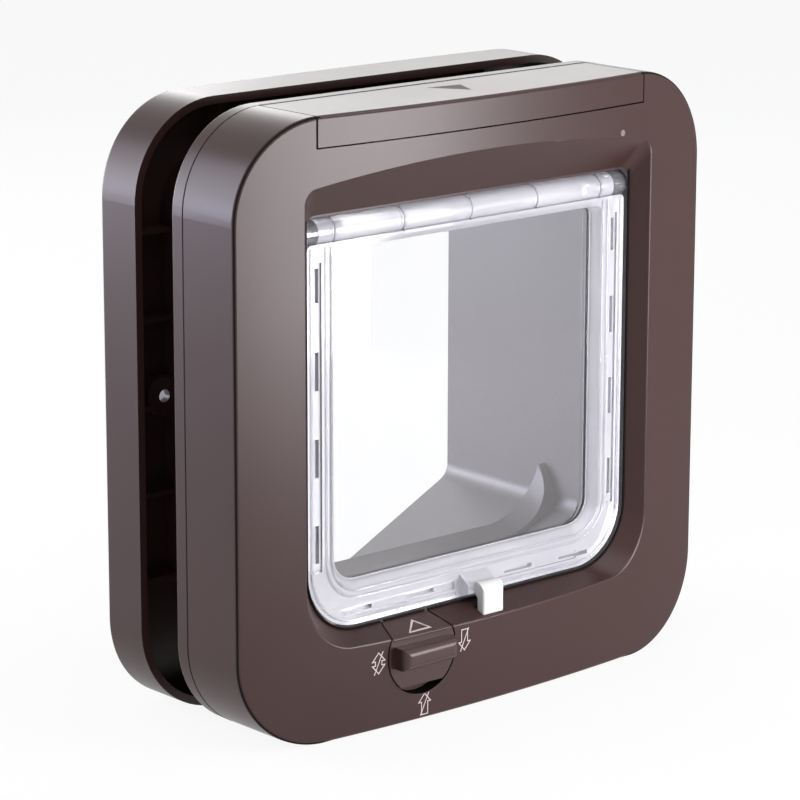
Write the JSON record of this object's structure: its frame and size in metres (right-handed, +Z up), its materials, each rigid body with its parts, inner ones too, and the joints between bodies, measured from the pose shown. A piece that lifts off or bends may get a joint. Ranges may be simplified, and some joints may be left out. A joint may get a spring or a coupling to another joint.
{
  "type": "cat flap",
  "caption": "Microchip cat flap: rounded square indoor housing with a clear top-hung flap, lock dial and entry latch, a tunnel through the door and a matching outdoor frame.",
  "frame": {"origin": "centre of the bounding box's underside", "axes": "+Z up, -Y the indoor face with the dial, +X to the right seen from indoors"},
  "size_m": [0.21, 0.112, 0.21],
  "materials": {
    "shell_plastic": "satin dark brown moulding with a fine grain",
    "rear_plastic": "satin dark brown moulding",
    "tunnel_plastic": "smooth dark brown moulding",
    "frame_plastic": "satin dark brown moulding",
    "rim_clear": "frosted clear moulding",
    "clear_flap": "clear polished moulding",
    "clear_bush": "clear moulding",
    "pin_steel": "drawn steel",
    "dial_plastic": "satin dark brown moulding",
    "inner_plastic": "black moulding",
    "spring_steel": "spring steel",
    "latch_white": "white moulding",
    "coil_wrap": "enamelled copper winding",
    "battery_wrap": "plain dark sleeve",
    "contact_metal": "nickel-plated strip",
    "board_green": "solder mask",
    "chip_black": "moulded packages",
    "lamp_clear": "clear rod, pale pink when lit",
    "button_grey": "grey moulding",
    "screw_steel": "zinc-plated screws"
  },
  "bodies": {
    "housing": {"front_housing": "shell_plastic", "back_plate": "rear_plastic", "tunnel": "tunnel_plastic", "hinge_pins": "pin_steel", "hinge_bushes": "clear_bush", "detent_spring": "spring_steel", "latch_magnet": "coil_wrap", "entry_spring": "spring_steel", "battery_1": "battery_wrap", "battery_2": "battery_wrap", "battery_3": "battery_wrap", "battery_4": "battery_wrap", "battery_tray": "inner_plastic", "contact_left": "contact_metal", "contact_right": "contact_metal", "circuit_board": "board_green", "board_parts": "chip_black", "light_pipe": "lamp_clear", "antenna_loop": "coil_wrap", "case_screws": "screw_steel"},
    "flap": {"flap": "rim_clear", "flap_pane": "clear_flap"},
    "entry_latch": {"entry_latch": "latch_white", "latch_plunger": "pin_steel"},
    "lock_dial": {"lock_dial": "dial_plastic", "lock_plate": "inner_plastic"},
    "battery_cover": {"battery_cover": "shell_plastic"},
    "learn_button": {"learn_button": "button_grey"},
    "outer_frame": {"outer_frame": "frame_plastic"}
  },
  "joints": [
    {"name": "flap_swing", "type": "hinge", "parent": "housing", "child": "flap", "pos_m": [0, -0.0355, 0.1698], "axis": [1, 0, 0], "range_deg": [-90, 90]},
    {"name": "entry_latch_slide", "type": "slide", "parent": "housing", "child": "entry_latch", "axis": [0, 0, 1], "range_m": [-0.008, 0], "stiffness_N_per_m": 60, "springref_m": 0.003, "deforming": ["entry_spring"]},
    {"name": "lock_dial_turn", "type": "hinge", "parent": "housing", "child": "lock_dial", "pos_m": [-0.0306, -0.05, 0.0239], "axis": [0, 1, 0], "continuous": true},
    {"name": "battery_cover_slide", "type": "slide", "parent": "housing", "child": "battery_cover", "axis": [0, -1, 0], "range_m": [0, 0.045]},
    {"name": "learn_button_press", "type": "slide", "parent": "housing", "child": "learn_button", "axis": [0, 0, -1], "range_m": [0, 0.001], "stiffness_N_per_m": 500},
    {"name": "outer_frame_slide", "type": "slide", "parent": "housing", "child": "outer_frame", "axis": [0, 1, 0], "range_m": [-0.013, 0.026]}
  ]
}
